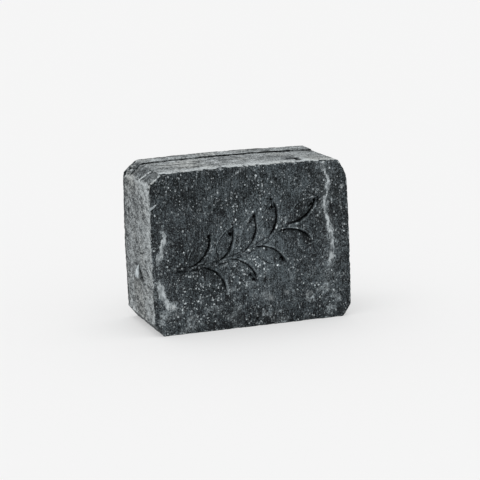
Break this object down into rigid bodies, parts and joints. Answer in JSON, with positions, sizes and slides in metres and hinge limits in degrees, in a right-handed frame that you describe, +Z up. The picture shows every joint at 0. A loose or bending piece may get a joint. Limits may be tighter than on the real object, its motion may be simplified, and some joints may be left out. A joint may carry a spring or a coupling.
{
  "type": "charcoal bar",
  "caption": "Stubby rectangular bar of pressed charcoal with planed corners, a leaf sprig pressed into its front, pale mineral veins and a seam between its bonded layers.",
  "frame": {"origin": "middle of the bottom face, which is the long narrow side that the bar stands on", "axes": "+X along the width, to the right seen from the front; the pressed front face looks along -Y; +Z up"},
  "size_m": [0.0769, 0.035, 0.0598],
  "materials": {
    "charcoal": "matte",
    "pale_mineral": "matte",
    "cloudy_mineral": "matte",
    "grain": "matte",
    "ash_flake": "matte"
  },
  "bodies": {
    "root": {"front_layer": "charcoal", "back_layer": "charcoal", "left_upper_vein": "pale_mineral", "left_lower_vein": "pale_mineral", "right_vein": "pale_mineral", "lower_patches": "cloudy_mineral", "pale_grains": "grain", "side_flake": "ash_flake", "edge_flake": "ash_flake"}
  },
  "joints": []
}
